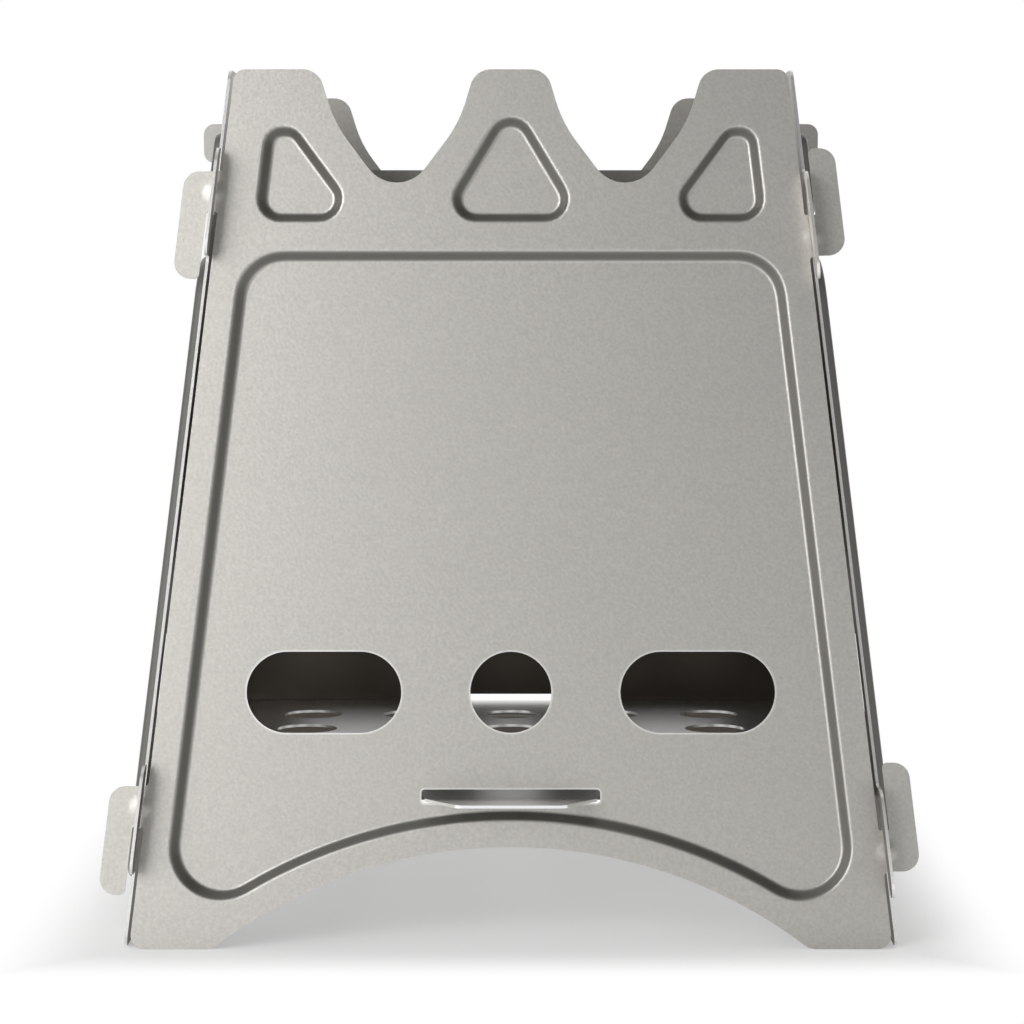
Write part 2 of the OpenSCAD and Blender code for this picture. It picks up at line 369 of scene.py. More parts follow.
@dataclass
class SheetMaterial:
    """Builds the material of one sheet from its finish."""

    grain_group: bpy.types.ShaderNodeTree
    edge_group: bpy.types.ShaderNodeTree

    def build(self, name: str, finish: Finish, normal: Vector3 | None = None) -> bpy.types.Material:
        """Make the material.

        Args:
            name: the material's name.
            finish: colours, roughness and grain.
            normal: the sheet's own normal in the object's frame, where its
                sheared edges are found by it, or None.

        Returns:
            The new material.
        """
        material = bpy.data.materials.new(name)
        material.use_nodes = True
        tree = material.node_tree
        nodes, links = tree.nodes, tree.links
        shader = nodes["Principled BSDF"]
        shader.inputs["Metallic"].default_value = 1.0
        place = nodes.new("ShaderNodeTexCoord")
        grain = nodes.new("ShaderNodeGroup")
        grain.node_tree = self.grain_group
        grain.inputs["Grain"].default_value = finish.grain
        links.new(place.outputs["Object"], grain.inputs["Position"])

        colour = self._grained(tree, finish, grain)
        # Sheared edges of a flat sheet: bare metal, painted brighter as a highlight
        if normal is not None:
            edge = nodes.new("ShaderNodeGroup")
            edge.node_tree = self.edge_group
            edge.inputs["Sheet normal"].default_value = normal
            links.new(place.outputs["Normal"], edge.inputs["Face normal"])
            colour = self._mix(tree, colour, finish.edge, edge.outputs["Mask"])
        # Painted shade on the inside, darker towards the bottom
        if finish.low_shade is not None:
            colour = self._mix(tree, finish.low_shade, colour, self._unshaded_share(tree, place))
        # Painted highlight on the rims of the holes
        if finish.rim_highlight:
            colour = self._mix(tree, colour, finish.edge, self._attribute(tree, RIM_HIGHLIGHT))
        # Painted shade on the steep walls of the pressing
        if finish.pressed < 1.0:
            shaded_wall = tuple(finish.pressed * value for value in finish.colour)
            colour = self._mix(tree, colour, shaded_wall, self._attribute(tree, WALL_SHADE))
        links.new(colour, shader.inputs["Base Color"])

        rough = nodes.new("ShaderNodeMapRange")
        rough.inputs["To Min"].default_value = finish.roughness + ROUGHNESS_SPREAD
        rough.inputs["To Max"].default_value = finish.roughness - ROUGHNESS_SPREAD
        links.new(grain.outputs["Cloud"], rough.inputs["Value"])
        links.new(rough.outputs["Result"], shader.inputs["Roughness"])
        bump = nodes.new("ShaderNodeBump")
        bump.inputs["Strength"].default_value = finish.depth
        bump.inputs["Distance"].default_value = BUMP_DISTANCE
        links.new(grain.outputs["Height"], bump.inputs["Height"])
        links.new(bump.outputs["Normal"], shader.inputs["Normal"])
        return material

    def _grained(
        self, tree: bpy.types.ShaderNodeTree, finish: Finish, grain: bpy.types.Node
    ) -> bpy.types.NodeSocket:
        """Speckle the flat colour, and calm the speckle where the sheet is clouded.

        Args:
            tree: the material's node tree.
            finish: the sheet's finish.
            grain: the group that gives the masks.

        Returns:
            The socket of the grained colour.
        """
        speckled = self._mix(tree, finish.shade, finish.colour, grain.outputs["Speckle"])
        between = tuple((a + b) / 2 for a, b in zip(finish.colour, finish.shade))
        return self._mix(tree, speckled, between, grain.outputs["Cloud"])

    @staticmethod
    def _unshaded_share(tree: bpy.types.ShaderNodeTree, place: bpy.types.Node) -> bpy.types.NodeSocket:
        """Say how far the sheet is out of its painted shade low down, which rises smoothly with height.

        Args:
            tree: the material's node tree.
            place: the node that gives the place on the object.

        Returns:
            The socket of the share, from zero to one.
        """
        height = tree.nodes.new("ShaderNodeSeparateXYZ")
        unshaded = tree.nodes.new("ShaderNodeMapRange")
        unshaded.interpolation_type = "SMOOTHSTEP"
        unshaded.inputs["From Min"].default_value = SHADE_FULL_BELOW
        unshaded.inputs["From Max"].default_value = SHADE_GONE_ABOVE
        tree.links.new(place.outputs["Object"], height.inputs["Vector"])
        tree.links.new(height.outputs["Z"], unshaded.inputs["Value"])
        return unshaded.outputs["Result"]

    @staticmethod
    def _attribute(tree: bpy.types.ShaderNodeTree, name: str) -> bpy.types.NodeSocket:
        """Read one of the mesh's attributes.

        Args:
            tree: the material's node tree.
            name: the attribute's name.

        Returns:
            The socket of its value.
        """
        reader = tree.nodes.new("ShaderNodeAttribute")
        reader.attribute_name = name
        return reader.outputs["Fac"]

    @staticmethod
    def _mix(
        tree: bpy.types.ShaderNodeTree,
        low: Colour | bpy.types.NodeSocket,
        high: Colour | bpy.types.NodeSocket,
        mask: bpy.types.NodeSocket,
    ) -> bpy.types.NodeSocket:
        """Mix two colours by a mask.

        Args:
            tree: the material's node tree.
            low: the colour where the mask is zero, or the socket that gives it.
            high: the colour where the mask is one, or the socket that gives it.
            mask: the socket of the mask.

        Returns:
            The socket of the mixed colour.
        """
        mix = tree.nodes.new("ShaderNodeMix")
        mix.data_type = "RGBA"
        sockets = [socket for socket in mix.inputs if socket.type == "RGBA"]
        for socket, colour in zip(sockets, (low, high)):
            if isinstance(colour, bpy.types.NodeSocket):
                tree.links.new(colour, socket)
            else:
                socket.default_value = (*colour, 1.0)
        tree.links.new(mask, mix.inputs["Factor"])
        return next(socket for socket in mix.outputs if socket.type == "RGBA")


def dress(node: bpy.types.Object, material: bpy.types.Material) -> None:
    """Give a CAD node its material in every slot.

    Args:
        node: the node's object.
        material: its finish.
    """
    if not node.material_slots:
        node.data.materials.append(material)
    for slot in node.material_slots:
        slot.material = material


def corner_points(at: np.ndarray, before: np.ndarray, after: np.ndarray, radius: float) -> np.ndarray:
    """Round one corner of an outline.

    The arc's centre lies on the corner's bisector, at the radius over the sine
    of the half angle, and the arc turns through the rest of the half circle.

    Args:
        at: the corner.
        before: the corner before it.
        after: the corner after it.
        radius: the arc's radius.

    Returns:
        Points of the arc, one per row.
    """
    a = (before - at) / np.linalg.norm(before - at)
    b = (after - at) / np.linalg.norm(after - at)
    half = math.acos(float(np.clip(a @ b, -1.0, 1.0))) / 2
    bisector = (a + b) / np.linalg.norm(a + b)
    centre = at + bisector * radius / math.sin(half)
    start = at + a * radius / math.tan(half) - centre
    sweep = math.pi - 2 * half
    if b[0] * a[1] - b[1] * a[0] < 0:
        sweep = -sweep
    angle = math.atan2(start[1], start[0]) + sweep * np.linspace(0.0, 1.0, CORNER_STEPS + 1)
    return centre + radius * np.stack([np.cos(angle), np.sin(angle)], axis=1)


def rounded(corners: list[Corner]) -> np.ndarray:
    """Round every corner of a closed outline.

    Args:
        corners: the x, the y and the radius of each corner.

    Returns:
        Points of all the arcs, one per row.
    """
    places = np.array([corner[:2] for corner in corners])
    arcs = [
        corner_points(places[i], places[i - 1], places[(i + 1) % len(places)], corner[2])
        for i, corner in enumerate(corners)
    ]
    return np.concatenate(arcs)


def arc(centre: tuple[float, float], radius: float, first: float, last: float, steps: int) -> np.ndarray:
    """Points of an arc: the centre plus the radius times the cosine and sine of each angle."""
    angle = np.linspace(first, last, steps + 1)
    return np.array(centre) + radius * np.stack([np.cos(angle), np.sin(angle)], axis=1)


def circle(centre: tuple[float, float], radius: float, steps: int) -> np.ndarray:
    """Points of a whole circle, the last not repeated."""
    return arc(centre, radius, 0.0, 2 * math.pi * (1 - 1 / steps), steps - 1)


def shrunk(loop: np.ndarray, amount: float) -> np.ndarray:
    """Move a smooth anticlockwise loop inwards along its own normals.

    The normal at a point is the chord between its neighbours, turned a quarter
    turn to the left.

    Args:
        loop: points of the loop.
        amount: how far to move them, or how far outwards if it is negative.

    Returns:
        The moved points.
    """
    chord = np.roll(loop, -1, axis=0) - np.roll(loop, 1, axis=0)
    chord /= np.linalg.norm(chord, axis=1, keepdims=True)
    return loop + amount * np.stack([-chord[:, 1], chord[:, 0]], axis=1)


def thinned(loop: np.ndarray, least: float = 0.01) -> np.ndarray:
    """Drop the points of a loop that lie on the point before them."""
    step = np.linalg.norm(loop - np.roll(loop, 1, axis=0), axis=1)
    return loop[step > least]


def evened(loop: np.ndarray) -> np.ndarray:
    """Space the points of a loop evenly along its length.

    The length up to each point is the sum of the sides before it, and the new
    points lie at equal shares of the whole.

    Args:
        loop: points of the loop.

    Returns:
        The evenly spaced points.
    """
    closed = np.concatenate([loop, loop[:1]])
    run = np.concatenate([[0.0], np.cumsum(np.linalg.norm(np.diff(closed, axis=0), axis=1))])
    count = max(LEAST_RING_STEPS, int(run[-1] / RING_SPACING))
    at = np.linspace(0.0, run[-1], count, endpoint=False)
    return np.stack([np.interp(at, run, closed[:, 0]), np.interp(at, run, closed[:, 1])], axis=1)


def inside(points: np.ndarray, loop: np.ndarray) -> np.ndarray:
    """Say which points lie inside a loop.

    A ray to the right from an inner point crosses an odd number of its sides.

    Args:
        points: the points to test, one per row.
        loop: points of the loop.

    Returns:
        True for each point that lies inside.
    """
    x, y = points[:, :1], points[:, 1:]
    x1, y1 = loop[:, 0], loop[:, 1]
    x2, y2 = np.roll(x1, -1), np.roll(y1, -1)
    spans = (y1 > y) != (y2 > y)
    run = np.where(y2 == y1, 1.0, y2 - y1)
    crossing = x1 + (y - y1) * (x2 - x1) / run
    return (spans & (x < crossing)).sum(axis=1) % 2 == 1


def triangulated(
    loops: list[np.ndarray], values: np.ndarray, outline: np.ndarray, holes: list[np.ndarray]
) -> tuple[np.ndarray, np.ndarray, np.ndarray]:
    """Join loops by a constrained triangulation, and keep what lies in the outline and in no hole.

    Each point is joined to the next of its loop, and the last to the first. A
    triangle is turned round where the cross product of its sides is negative.

    Args:
        loops: every loop, with the outline and the holes among them.
        values: a row for each point of the loops, with its height, steepness and painted rim highlight.
        outline: the outer edge.
        holes: the edges of the holes.

    Returns:
        The flat places, their rows of values, and the triangles, anticlockwise.
    """
    flat = np.concatenate(loops)
    ends = np.cumsum([len(loop) for loop in loops])
    after = np.arange(len(flat)) + 1
    after[ends - 1] = np.concatenate([[0], ends[:-1]])
    edges = np.stack([np.arange(len(flat)), after], axis=1).tolist()
    result = geometry.delaunay_2d_cdt([Vector(p) for p in flat.tolist()], edges, [], 0, SAME_POINT)
    places, faces = np.array([tuple(p) for p in result[0]]), np.array(result[2])
    padded = np.concatenate([values, np.zeros_like(values[:1])])
    rows = padded[[ids[0] if ids else -1 for ids in result[3]]]
    middle = places[faces].mean(axis=1)
    keep = inside(middle, outline)
    for hole in holes:
        keep &= ~inside(middle, hole)
    faces = faces[keep]
    corner = places[faces]
    first, second = corner[:, 1] - corner[:, 0], corner[:, 2] - corner[:, 0]
    turned = first[:, 0] * second[:, 1] - first[:, 1] * second[:, 0] < 0
    faces[turned] = faces[turned][:, ::-1]
    used, index = np.unique(faces, return_inverse=True)
    return places[used], rows[used], index.reshape(faces.shape)


def closed_sheet(name: str, points: np.ndarray, faces: np.ndarray, rows: np.ndarray) -> bpy.types.Mesh:
    """Join an outer and an inner face by the sheared edge between them.

    An edge of the sheet is a triangle's side that no other triangle runs the
    other way along. A side's number is its first point times the count plus
    its second, which is found the other way round on the neighbour.

    Args:
        name: the mesh's name.
        points: points of the outer face, then as many of the inner face.
        faces: triangles of the outer face.
        rows: height, steepness and painted rim highlight at each point of the outer face.

    Returns:
        A closed mesh, with material 0 outside, 1 on the edges and 2 inside.
    """
    count = len(points) // 2
    sides = np.concatenate([faces[:, [0, 1]], faces[:, [1, 2]], faces[:, [2, 0]]])
    one_way, other_way = sides @ [count, 1], sides @ [1, count]
    rim = sides[~np.isin(other_way, one_way)]
    rim_faces = np.stack([rim[:, 1], rim[:, 0], rim[:, 0] + count, rim[:, 1] + count], axis=1)
    polygons = faces.tolist() + rim_faces.tolist() + (faces[:, ::-1] + count).tolist()
    mesh = bpy.data.meshes.new(name)
    mesh.from_pydata(points.tolist(), [], polygons)
    slots = np.repeat([0, 1, 2], [len(faces), len(rim_faces), len(faces)]).astype(np.int32)
    mesh.polygons.foreach_set("material_index", slots)
    for column, mask_name in ((STEEPNESS, WALL_SHADE), (HIGHLIGHT, RIM_HIGHLIGHT)):
        mask = mesh.attributes.new(mask_name, "FLOAT", "POINT")
        mask.data.foreach_set("value", np.tile(rows[:, column], 2).astype(np.float32))
    mesh.shade_smooth()
    mesh.set_sharp_from_angle(angle=math.radians(SHARP_DEGREES))
    return mesh


def add_piece(
    mesh: bpy.types.Mesh, node: str, body: str, finishes: list[bpy.types.Material]
) -> bpy.types.Object:
    """Add a finished mesh as the piece that stands for a node.

    Args:
        mesh: the mesh, in the object's frame.
        node: the node that it stands for.
        body: the body that it rides on.
        finishes: its materials, in the order of its slots.

    Returns:
        The piece.
    """
    for finish in finishes:
        mesh.materials.append(finish)
    piece = bpy.data.objects.new(f"{node}_sheet", mesh)
    bpy.context.scene.collection.objects.link(piece)
    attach(piece, body)
    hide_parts(node)
    return piece


@dataclass
class Panel:
    """One stamped panel. Its sizes are in millimetres, on its own flat face.

    A flat place on it is x along the ground and v up the slope, from the middle
    of its lower edge. Its height is how far it stands out of the flat face.

    Attributes:
        side: which wall it is.
        name: the node that it stands for.
        body: the body that it rides on.
        emboss: how far out its field and badges are pressed, or in if negative.
        left_hooks: whether its left edge has hooks.
    """

    side: Side
    name: str
    body: str
    emboss: float
    left_hooks: bool = True
    base_w: float = 130.0
    top_w: float = 95.0
    slant_h: float = 150.7
    sheet: float = 0.5
    edge_gap: float = 0.6
    foot_r: float = 2.3
    foot_lift: float = 0.07
    arch_h: float = 17.4
    arch_w: float = 102.0
    arch_toe_r: float = 3.5
    valley_x: float = 19.6
    valley_w: float = 27.0
    valley_bend_w: float = 21.4
    valley_bend_drop: float = 9.3
    valley_point_drop: float = 23.6
    valley_r: float = 6.0
    bend_r: float = 22.0
    tooth_r: float = 3.6
    tooth_outer_r: float = 2.0
    meets: tuple[float, float] = (20.5, 125.8)
    hook_h: float = 18.5
    neck_h: float = 7.0
    hook_reach: float = 6.4
    slit_w: float = 1.9
    neck_gap: float = 0.5
    hook_r: float = 2.8
    hook_inner_r: float = 0.9
    dimple_r: float = 2.3
    dimple_h: float = 0.2
    wall_w: float = 1.9
    field_rim: float = 4.6
    field_top: float = 119.5
    arch_rim: float = 4.3
    field_r: float = 8.5
    toe_r: float = 9.0
    badge_bottom: float = 124.2
    badge_h: float = 18.3
    badge_w: float = 22.6
    badge_r: float = 4.2
    side_badge_rim: float = 6.3
    side_badge_top: float = 16.8
    side_badge_head: float = 5.4
    side_badge_waist: float = 5.6
    side_badge_w: float = 15.6
    vent_z: float = 43.7
    vent_d: float = 13.9
    vent_l: float = 26.5
    vent_x: float = 32.0
    slot_bottom: float = 24.7
    slot_h: float = 2.4
    slot_w: float = 30.6
    slot_r: float = 0.6
    # Width of the painted highlight round the holes
    highlight_w: float = 0.4

    @property
    def slope(self) -> float:
        """Run of a panel's edge for each unit of its height."""
        return (self.base_w - self.top_w) / 2 / self.slant_h

    @property
    def arch_r(self) -> float:
        """Radius of the arch, from its height and its width at the ground."""
        return (self.arch_w**2 / 4 + self.arch_h**2) / (2 * self.arch_h)

    @property
    def arch_centre(self) -> float:
        """Height of the arch's centre, below the ground."""
        return self.arch_h - self.arch_r

    def edge_x(self, v: float) -> float:
        """Half the body's width at a height along the panel."""
        return self.base_w / 2 - self.slope * v

    def hook(self, sign: int, meet: float) -> list[Corner]:
        """Corners of one hook: its tab rises at the right and hangs at the left.

        Args:
            sign: 1 for the right edge and -1 for the left.
            meet: where two hooks meet, up the slope.

        Returns:
            The hook's corners, from its root at the far side to its slit.
        """
        near = meet - sign * self.neck_gap / 2
        far = near - sign * self.neck_h
        tip = far + sign * self.hook_h
        slit_r = self.slit_w * SLIT_ROUND_SHARE
        return [
            (sign * self.edge_x(far), far, self.hook_inner_r),
            (sign * (self.edge_x(far) + self.hook_reach), far, self.hook_r),
            (sign * (self.edge_x(tip) + self.hook_reach), tip, self.hook_r),
            (sign * (self.edge_x(tip) + self.slit_w), tip, self.hook_inner_r),
            (sign * (self.edge_x(near) + self.slit_w), near, slit_r),
            (sign * self.edge_x(near), near, slit_r),
        ]

    def valley(self, x: float) -> list[Corner]:
        """Corners of the valley round x, from right to left.

        Args:
            x: the valley's middle.

        Returns:
            The corners, each with its radius.
        """
        top, bend = self.valley_w / 2, self.valley_bend_w / 2
        drop = self.slant_h - self.valley_bend_drop
        return [
            (x + top, self.slant_h, self.tooth_r),
            (x + bend, drop, self.bend_r),
            (x, self.slant_h - self.valley_point_drop, self.valley_r),
            (x - bend, drop, self.bend_r),
            (x - top, self.slant_h, self.tooth_r),
        ]

    def outline(self) -> np.ndarray:
        """Outer edge of the panel, with the arch between its feet.

        The arch is one arc about a centre below the ground, and each foot's toe
        is an arc that touches both it and the foot's underside.

        Returns:
            Points of the edge, anticlockwise.
        """
        base, centre = self.foot_lift, self.arch_centre
        rise = base + self.arch_toe_r - centre
        reach = math.sqrt((self.arch_r + self.arch_toe_r) ** 2 - rise**2)
        toe = math.atan2(-rise, reach)
        left_toe = arc((-reach, base + self.arch_toe_r), self.arch_toe_r, -math.pi / 2, toe, CORNER_STEPS)
        crest = arc((0.0, centre), self.arch_r, math.pi + toe, -toe, ARCH_STEPS)
        right_toe = left_toe[::-1] * np.array([-1.0, 1.0])
        half = self.edge_x(base)
        corners = [
            (half, base, self.foot_r),
            *self.hook(1, self.meets[0]),
            *self.hook(1, self.meets[1]),
            (self.top_w / 2, self.slant_h, self.tooth_outer_r),
            *self.valley(self.valley_x),
            *self.valley(-self.valley_x),
            (-self.top_w / 2, self.slant_h, self.tooth_outer_r),
        ]
        if self.left_hooks:
            corners += self.hook(-1, self.meets[1]) + self.hook(-1, self.meets[0])
        corners.append((-half, base, self.foot_r))
        return thinned(np.concatenate([rounded(corners), left_toe, crest[1:-1], right_toe]))

    def field(self) -> np.ndarray:
        """Edge of the pressed field: straight sides and top, and a foot that follows the arch.

        A toe's centre lies the toe's radius inside the side line, and as far
        from the arch's centre as both radii together.

        Returns:
            Evenly spaced points, anticlockwise.
        """
        k, size = self.slope, math.sqrt(1 + self.slope**2)
        rim_r = self.arch_r + self.arch_rim
        x0 = self.base_w / 2 - self.field_rim - self.toe_r * size
        a, b = 1 + k * k, -2 * (x0 * k + self.arch_centre)
        c = x0**2 + self.arch_centre**2 - (rim_r + self.toe_r) ** 2
        toe_v = (-b + math.sqrt(b * b - 4 * a * c)) / (2 * a)
        toe_x = x0 - k * toe_v
        inward = math.atan2(self.arch_centre - toe_v, -toe_x)
        right = arc((toe_x, toe_v), self.toe_r, inward, math.atan(k), 2 * CORNER_STEPS)
        top_x = self.edge_x(self.field_top) - self.field_rim
        heads = [np.array([top_x, self.field_top]), np.array([-top_x, self.field_top])]
        low = [right[-1], right[-1] * np.array([-1.0, 1.0])]
        right_head = corner_points(heads[0], low[0], heads[1], self.field_r)
        left_head = corner_points(heads[1], heads[0], low[1], self.field_r)
        left = right[::-1] * np.array([-1.0, 1.0])
        crest_at = math.atan2(toe_v - self.arch_centre, toe_x)
        crest = arc((0.0, self.arch_centre), rim_r, math.pi - crest_at, crest_at, ARCH_STEPS)
        return evened(np.concatenate([right, right_head, left_head, left, crest[1:-1]]))

    def badges(self) -> list[np.ndarray]:
        """Edges of the three rounded triangles under the teeth.

        Returns:
            The middle, the right and the left edge, anticlockwise.
        """
        low, half = self.badge_bottom, self.badge_w / 2 + self.badge_r / 2
        middle = [
            (-half, low, self.badge_r),
            (half, low, self.badge_r),
            (0.0, low + self.badge_h + self.badge_r, self.badge_r),
        ]
        foot = self.edge_x(low) - self.side_badge_rim
        top = low + self.side_badge_top
        head = self.edge_x(top) - self.side_badge_rim
        right = [
            (foot - self.side_badge_w, low, self.badge_r),
            (foot, low, self.badge_r),
            (head, top, self.badge_r * BADGE_HEAD_SHARE),
            (head - self.side_badge_head, top, self.badge_r * BADGE_HEAD_SHARE),
            (foot - self.side_badge_w, low + self.side_badge_waist, self.badge_r * BADGE_HEAD_SHARE),
        ]
        left = [(-x, v, r) for x, v, r in reversed(right)]
        return [evened(rounded(shape)) for shape in (middle, right, left)]

    def holes(self) -> list[np.ndarray]:
        """Edges of the vents and of the plate's slot.

        Returns:
            The edges, anticlockwise.
        """
        loops = [circle((0.0, self.vent_z), self.vent_d / 2, HOLE_STEPS)]
        reach, r = (self.vent_l - self.vent_d) / 2, self.vent_d / 2
        for x in (-self.vent_x, self.vent_x):
            right = arc((x + reach, self.vent_z), r, -math.pi / 2, math.pi / 2, HOLE_STEPS // 2)
            left = arc((x - reach, self.vent_z), r, math.pi / 2, 3 * math.pi / 2, HOLE_STEPS // 2)
            loops.append(np.concatenate([right, left]))
        half, low, high = self.slot_w / 2, self.slot_bottom, self.slot_bottom + self.slot_h
        loops.append(rounded([(-half, low, self.slot_r), (half, low, self.slot_r),
                              (half, high, self.slot_r), (-half, high, self.slot_r)]))
        return loops

    def relief(self) -> tuple[list[np.ndarray], list[np.ndarray]]:
        """Rings of the embossing, with each point's height, steepness and painted rim highlight.

        Across a wall the height follows three times the square less twice the
        cube of the share of the wall's width, and across a dimple half of one
        plus the cosine of half a turn times the share of its radius.

        A wall's steepness is the share times one less the share, raised and
        cut off at one; it says where the walls are painted in shade.

        Returns:
            The rings, and the rows of values of their points.
        """
        loops, values = [], []
        for share in WALL_SHARES:
            rise = min(max(share, 0.0), 1.0)
            height = self.emboss * (3 * rise**2 - 2 * rise**3)
            steep = min(1.0, STEEP_GAIN * rise * (1 - rise))
            for edge in [self.field(), *self.badges()]:
                loop = shrunk(edge, share * self.wall_w)
                loops.append(loop)
                values.append(np.tile([height, steep, 0.0], (len(loop), 1)))
        signs = (-1, 1) if self.left_hooks else (1,)
        for meet in self.meets:
            for sign in signs:
                at = meet - sign * (self.neck_gap + self.neck_h) / 2
                centre = (sign * (self.edge_x(at) + self.slit_w / 2), at)
                for share in DIMPLE_SHARES:
                    loop = circle(centre, self.dimple_r * share, DIMPLE_STEPS)
                    loops.append(loop)
                    rise = (1 + math.cos(math.pi * min(share, 1.0))) / 2
                    values.append(np.tile([self.dimple_h * rise, 0.0, 0.0], (len(loop), 1)))
        return loops, values

    def to_world(self, flat: np.ndarray, height: np.ndarray) -> np.ndarray:
        """Stand flat points up: lean them back, move them out and turn them to their side.

        Args:
            flat: places on the flat face, one per row.
            height: how far each stands out of the face.

        Returns:
            Points in the object's frame, in metres.
        """
        lean, turn = math.asin(self.slope), math.radians(self.side.value)
        off = self.base_w / 2 + self.edge_gap + self.sheet
        x = flat[:, 0]
        y = -off + flat[:, 1] * math.sin(lean) - height * math.cos(lean)
        z = flat[:, 1] * math.cos(lean) + height * math.sin(lean)
        return MM * np.stack([x * math.cos(turn) - y * math.sin(turn),
                              x * math.sin(turn) + y * math.cos(turn), z], axis=1)

    def mesh(self) -> bpy.types.Mesh:
        """Build the sheet as one closed mesh.

        The outline, holes and rings are joined by a constrained triangulation,
        which gives each face of the sheet. The inner face is the outer one
        moved inwards by the thickness, and the edges join the two.

        Returns:
            The mesh, in the object's frame.
        """
        outline, holes = self.outline(), self.holes()
        rings, ring_values = self.relief()
        # Thin rings round the holes, inside which their rims get a painted highlight
        rims = [shrunk(loop, -self.highlight_w) for loop in holes]
        hole_values = [np.tile([self.emboss, 0.0, rim_highlight], (len(loop), 1))
                       for rim_highlight, group in ((1.0, holes), (0.0, rims)) for loop in group]
        values = np.concatenate([np.zeros((len(outline), 3)), *hole_values, *ring_values])
        places, rows, faces = triangulated([outline, *holes, *rims, *rings], values, outline, holes)
        height = rows[:, HEIGHT]
        points = np.concatenate([self.to_world(places, height), self.to_world(places, height - self.sheet)])
        return closed_sheet(self.name, points, faces, rows)

    def build(self, finishes: list[bpy.types.Material]) -> bpy.types.Object:
        """Make the panel and let it stand for its node."""
        return add_piece(self.mesh(), self.name, self.body, finishes)


@dataclass
class Walls:
    """The four stamped panels, pressed inwards at the front and back and outwards at the sides."""

    depth: float = 1.8

    def build(self, sheets: SheetMaterial) -> list[bpy.types.Object]:
        """Make each panel in blasted sheet with its sheared edges painted bright as a highlight.

        Args:
            sheets: the builder of the materials.

        Returns:
            The four panels.
        """
        finishes = [
            sheets.build("blasted sheet", PANEL_FINISH),
            sheets.build("sheared edge", EDGE_FINISH),
            # Inner face, with painted shade low down
            sheets.build("fired inner face", INNER_FINISH),
        ]
        panels = [
            Panel(Side.FRONT, "front_panel", "front", -self.depth),
            Panel(Side.RIGHT, "right_panel", "right", self.depth),
            Panel(Side.BACK, "back_panel", "back", -self.depth, left_hooks=False),
            Panel(Side.LEFT, "left_panel", "left", self.depth),
        ]
        return [panel.build(finishes) for panel in panels]


@dataclass
class CrossBar:
    """One bar of flat sheet on edge, with a horn and an ear at each end. Sizes are in millimetres.

    Attributes:
        node: the node that it stands for.
        body: the body that it rides on.
        full_reach: how far the node's ears reach past the side panels.
    """

    node: str
    body: str
    thickness: float = 0.8
    strip_h: float = 3.6
    foot_reach: float = 3.0
    foot_step: float = 1.0
    horn_h: float = 14.2
    horn_w: float = 1.7
    horn_r: float = 0.7
    ear_reach: float = 4.6
    ear_low: float = 4.9
    ear_high: float = 11.9
    ear_r: float = 1.9
    sheet: float = 0.5
    gap: float = 0.5
    full_reach: float = 7.3
    small_r: float = 0.3

    def outline(self, outer: float) -> np.ndarray:
        """Edge of the bar, anticlockwise from the middle of its underside.

        Args:
            outer: distance of the side panel's outer face from the middle.

        Returns:
            Points of the edge, along the bar and up.
        """
        inner = outer - self.sheet - self.gap
        leg = outer + self.foot_reach
        right = [
            (outer + self.gap / 2, 0.0, self.small_r),
            (outer + self.gap / 2 + self.foot_step / 2, self.foot_step, self.small_r),
            (leg, self.foot_step, self.small_r),
            (leg, self.ear_low, self.small_r),
            (outer + self.ear_reach, self.ear_low, self.ear_r),
            (outer + self.ear_reach, self.ear_high, self.ear_r),
            (inner + self.horn_w, self.ear_high, self.small_r),
            (inner + self.horn_w, self.horn_h, self.horn_r),
            (inner, self.horn_h, self.horn_r),
            (inner, self.strip_h, self.small_r),
        ]
        left = [(-x, z, r) for x, z, r in reversed(right)]
        return rounded(right + left)

    def build(self, finishes: list[bpy.types.Material]) -> bpy.types.Object:
        """Stand the bar where its node is.

        Args:
            finishes: materials of the front, the edges and the back.

        Returns:
            The bar.
        """
        low, high = (np.array(corner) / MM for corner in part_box(self.node))
        outline = self.outline(float(high[0]) - self.full_reach)
        places, rows, faces = triangulated([outline], np.zeros((len(outline), 3)), outline, [])
        front = (low[1] + high[1] - self.thickness) / 2
        near = np.stack([places[:, 0], rows[:, HEIGHT] + front, places[:, 1] + low[2]], axis=1)
        far = near + np.array([0.0, self.thickness, 0.0])
        mesh = closed_sheet(self.node, MM * np.concatenate([near, far]), faces, rows)
        return add_piece(mesh, self.node, self.body, finishes)


@dataclass
class Inserts:
    """The loose floor plate and cross bars."""

    plate: str = "floor_plate"

    def build(self, frame: dict, sheets: SheetMaterial) -> list[bpy.types.Object]:
        """Dress the plate and make the bars.

        Args:
            frame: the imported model.
            sheets: the builder of the materials.

        Returns:
            The plate and the two bars.
        """
        plate = frame["nodes"][self.plate]
        dress(plate, sheets.build("plate sheet", PLATE_FINISH, (0.0, 0.0, 1.0)))
        face = sheets.build("bar sheet", BAR_FINISH)
        edge = sheets.build("bar edge", EDGE_FINISH)
        bars = (CrossBar("near_cross_bar", "near_bar"), CrossBar("far_cross_bar", "far_bar"))
        return [plate, *(bar.build([face, edge, face]) for bar in bars)]


